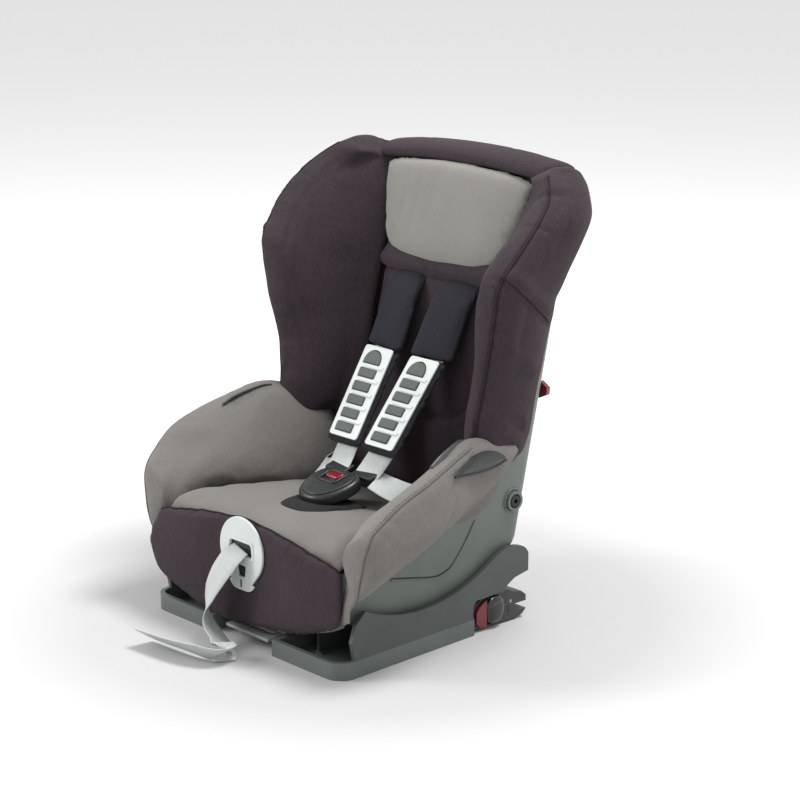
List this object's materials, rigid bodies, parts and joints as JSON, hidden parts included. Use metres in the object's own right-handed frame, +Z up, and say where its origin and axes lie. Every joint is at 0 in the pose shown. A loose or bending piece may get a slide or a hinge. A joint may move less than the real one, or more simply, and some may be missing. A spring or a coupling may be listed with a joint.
{
  "type": "convertible child car seat",
  "caption": "Padded reclining child car seat with harness on a low tub base with two sliding rigid anchor connectors.",
  "frame": {"origin": "a point on the flat underside of the base, on the middle plane of the seat, 212 mm behind the front edge of the base", "axes": "+Z up, the child faces -Y, +X is the child's left"},
  "size_m": [0.492, 0.5408, 0.598],
  "materials": {
    "tray_plastic": "satin moulded polypropylene, fine grain",
    "base_plastic": "satin moulded polypropylene, fine grain",
    "shell_plastic": "satin moulded polypropylene, fine grain",
    "steel": "zinc plated steel",
    "connector_plastic": "glossy black",
    "red_plastic": "glossy red",
    "dark_fabric": "woven polyester, dark aubergine charcoal",
    "grey_fabric": "woven polyester, warm grey",
    "light_fabric": "fine velour, light warm grey",
    "white_plastic": "satin white",
    "handle_plastic": "light grey",
    "webbing": "white polyester webbing",
    "pad_border": "black binding",
    "grip_rubber": "matt rubber",
    "buckle_plastic": "satin dark grey"
  },
  "bodies": {
    "base": {"base_tray": "tray_plastic", "base_cheek_left": "base_plastic", "base_cheek_right": "base_plastic", "recline_rails": "steel", "cross_members": "steel", "lock_rack": "steel", "arm_sleeves": "steel"},
    "seat": {"adjuster_housing": "base_plastic", "adjuster_pin": "steel", "adjuster_strap": "webbing", "arm_pad_left": "grey_fabric", "arm_pad_right": "grey_fabric", "back_pad": "dark_fabric", "back_ribs": "base_plastic", "belt_guides": "base_plastic", "buckle_body": "buckle_plastic", "buckle_tongues": "steel", "chest_grips": "grip_rubber", "chest_pad_left": "pad_border", "chest_pad_right": "pad_border", "clamp_pins": "steel", "crotch_pad": "dark_fabric", "crotch_strap": "webbing", "front_panel": "dark_fabric", "glide_shoes": "base_plastic", "head_insert": "light_fabric", "head_pad": "dark_fabric", "hip_bolts": "steel", "hip_cups": "base_plastic", "lap_strap_left": "webbing", "lap_strap_right": "webbing", "seat_pad": "grey_fabric", "seat_shell": "shell_plastic", "shoulder_sleeves": "dark_fabric", "shoulder_strap_left": "webbing", "shoulder_strap_right": "webbing", "splitter_plate": "steel", "strap_bezel": "white_plastic", "top_roll": "dark_fabric", "under_webbing": "webbing", "wing_pad_left": "dark_fabric", "wing_pad_right": "dark_fabric"},
    "recline_lock": {"recline_handle": "handle_plastic"},
    "adjuster_grip": {"adjuster_lever": "steel"},
    "harness_button": {"buckle_button": "red_plastic"},
    "connector_left": {"anchor_arm_left": "steel", "connector_housing_left": "connector_plastic", "jaw_pin_left": "steel", "lock_indicator_left": "connector_plastic"},
    "jaw_left": {"connector_jaw_left": "steel"},
    "release_left": {"release_button_left": "red_plastic"},
    "clamp_left": {"belt_clamp_left": "red_plastic"},
    "connector_right": {"anchor_arm_right": "steel", "connector_housing_right": "connector_plastic", "jaw_pin_right": "steel", "lock_indicator_right": "connector_plastic"},
    "jaw_right": {"connector_jaw_right": "steel"},
    "release_right": {"release_button_right": "red_plastic"},
    "clamp_right": {"belt_clamp_right": "red_plastic"}
  },
  "joints": [
    {"name": "seat_recline", "type": "hinge", "parent": "base", "child": "seat", "pos_m": [0, -0.065, 0.3], "axis": [-1, 0, 0], "range_deg": [0, 12]},
    {"name": "recline_pull", "type": "slide", "parent": "seat", "child": "recline_lock", "axis": [0, -1, 0], "range_m": [0, 0.013], "stiffness_N_per_m": 300, "springref_m": -0.004},
    {"name": "adjuster_release", "type": "hinge", "parent": "seat", "child": "adjuster_grip", "pos_m": [0, -0.168, 0.1086], "axis": [1, 0, 0], "range_deg": [0, 10], "stiffness_Nm_per_rad": 0.15, "springref_deg": -17.19},
    {"name": "buckle_press", "type": "slide", "parent": "seat", "child": "harness_button", "axis": [0, 0.4067, -0.9135], "range_m": [0, 0.0015], "stiffness_N_per_m": 1500, "springref_m": -0.001},
    {"name": "connector_slide_left", "type": "slide", "parent": "base", "child": "connector_left", "axis": [0, 1, 0], "range_m": [0, 0.055]},
    {"name": "release_press_left", "type": "slide", "parent": "connector_left", "child": "release_left", "axis": [-1, 0, 0], "range_m": [0, 0.0025], "stiffness_N_per_m": 900, "springref_m": -0.001},
    {"name": "jaw_open_left", "type": "hinge", "parent": "connector_left", "child": "jaw_left", "pos_m": [0.14, 0.1, 0.027], "axis": [1, 0, 0], "range_deg": [0, 25]},
    {"name": "clamp_open_left", "type": "hinge", "parent": "seat", "child": "clamp_left", "pos_m": [0.131, 0.166, 0.295], "axis": [0, 1, 0], "range_deg": [-20, 0]},
    {"name": "connector_slide_right", "type": "slide", "parent": "base", "child": "connector_right", "axis": [0, 1, 0], "range_m": [0, 0.055]},
    {"name": "release_press_right", "type": "slide", "parent": "connector_right", "child": "release_right", "axis": [1, 0, 0], "range_m": [0, 0.0025], "stiffness_N_per_m": 900, "springref_m": -0.001},
    {"name": "jaw_open_right", "type": "hinge", "parent": "connector_right", "child": "jaw_right", "pos_m": [-0.14, 0.1, 0.027], "axis": [1, 0, 0], "range_deg": [0, 25]},
    {"name": "clamp_open_right", "type": "hinge", "parent": "seat", "child": "clamp_right", "pos_m": [-0.131, 0.166, 0.295], "axis": [0, 1, 0], "range_deg": [0, 20]}
  ],
  "couplings": [
    {"joint": "jaw_open_left", "follows": "release_press_left", "rad_per_m": 174.53},
    {"joint": "jaw_open_right", "follows": "release_press_right", "rad_per_m": 174.53}
  ]
}
